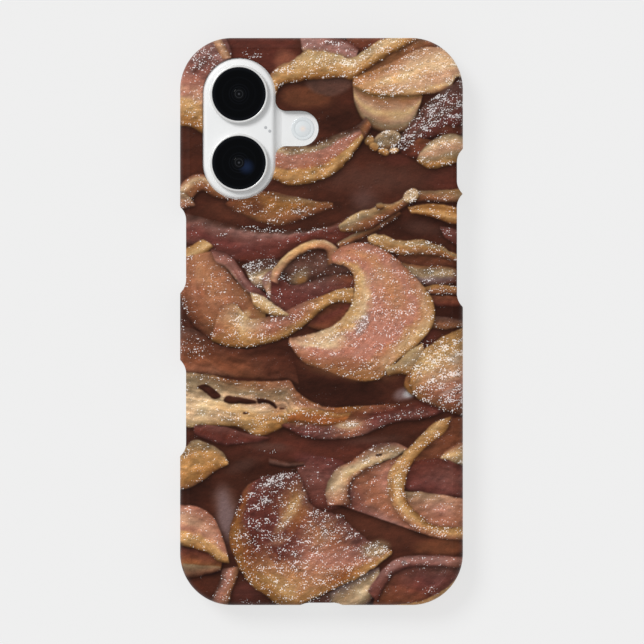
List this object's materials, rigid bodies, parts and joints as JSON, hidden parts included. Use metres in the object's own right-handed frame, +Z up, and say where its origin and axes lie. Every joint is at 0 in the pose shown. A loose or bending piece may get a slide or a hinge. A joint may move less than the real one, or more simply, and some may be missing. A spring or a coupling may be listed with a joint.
{
  "type": "printed phone case on a smartphone",
  "caption": "Smartphone lying face down in a slim hard case printed all over with fried bacon, with openings for the cameras, buttons and port.",
  "frame": {"origin": "middle of the outline, on the plane of the case's front lip, which the part rests on", "axes": "+Z up out of the case's printed back, +Y along the length towards the cameras, +X to the right with the cameras at the upper left"},
  "size_m": [0.0756, 0.1516, 0.0122],
  "materials": {
    "printed_plastic": "glossy hard plastic, printed with golden, cream and maroon bacon",
    "anodised_band": "satin white anodised metal",
    "white_glass": "smooth white glass, not see-through",
    "black_glass": "polished black glass, not see-through",
    "lamp_window": "pale ribbed window over the lamp",
    "dark_plastic": "dark moulded plastic",
    "steel": "small plain screw heads"
  },
  "bodies": {
    "device": {"case_shell": "printed_plastic", "phone_body": "anodised_band", "back_glass": "white_glass", "display_glass": "black_glass", "lens_ring_upper": "anodised_band", "lens_ring_lower": "anodised_band", "lens_glass_upper": "black_glass", "lens_glass_lower": "black_glass", "lamp_window": "lamp_window", "port_tongue": "dark_plastic", "end_screw_left": "steel", "end_screw_right": "steel"},
    "action_key": {"action_button": "anodised_band"},
    "volume_up_key": {"volume_up_button": "anodised_band"},
    "volume_down_key": {"volume_down_button": "anodised_band"},
    "power_key": {"power_button": "anodised_band"},
    "shutter_key": {"shutter_button": "anodised_band"}
  },
  "joints": [
    {"name": "action_press", "type": "slide", "parent": "device", "child": "action_key", "axis": [-1, 0, 0], "range_m": [0, 0.0003], "stiffness_N_per_m": 400},
    {"name": "volume_up_press", "type": "slide", "parent": "device", "child": "volume_up_key", "axis": [-1, 0, 0], "range_m": [0, 0.0003], "stiffness_N_per_m": 400},
    {"name": "volume_down_press", "type": "slide", "parent": "device", "child": "volume_down_key", "axis": [-1, 0, 0], "range_m": [0, 0.0003], "stiffness_N_per_m": 400},
    {"name": "power_press", "type": "slide", "parent": "device", "child": "power_key", "axis": [1, 0, 0], "range_m": [0, 0.0003], "stiffness_N_per_m": 400},
    {"name": "shutter_press", "type": "slide", "parent": "device", "child": "shutter_key", "axis": [1, 0, 0], "range_m": [0, 0.0003], "stiffness_N_per_m": 400}
  ]
}
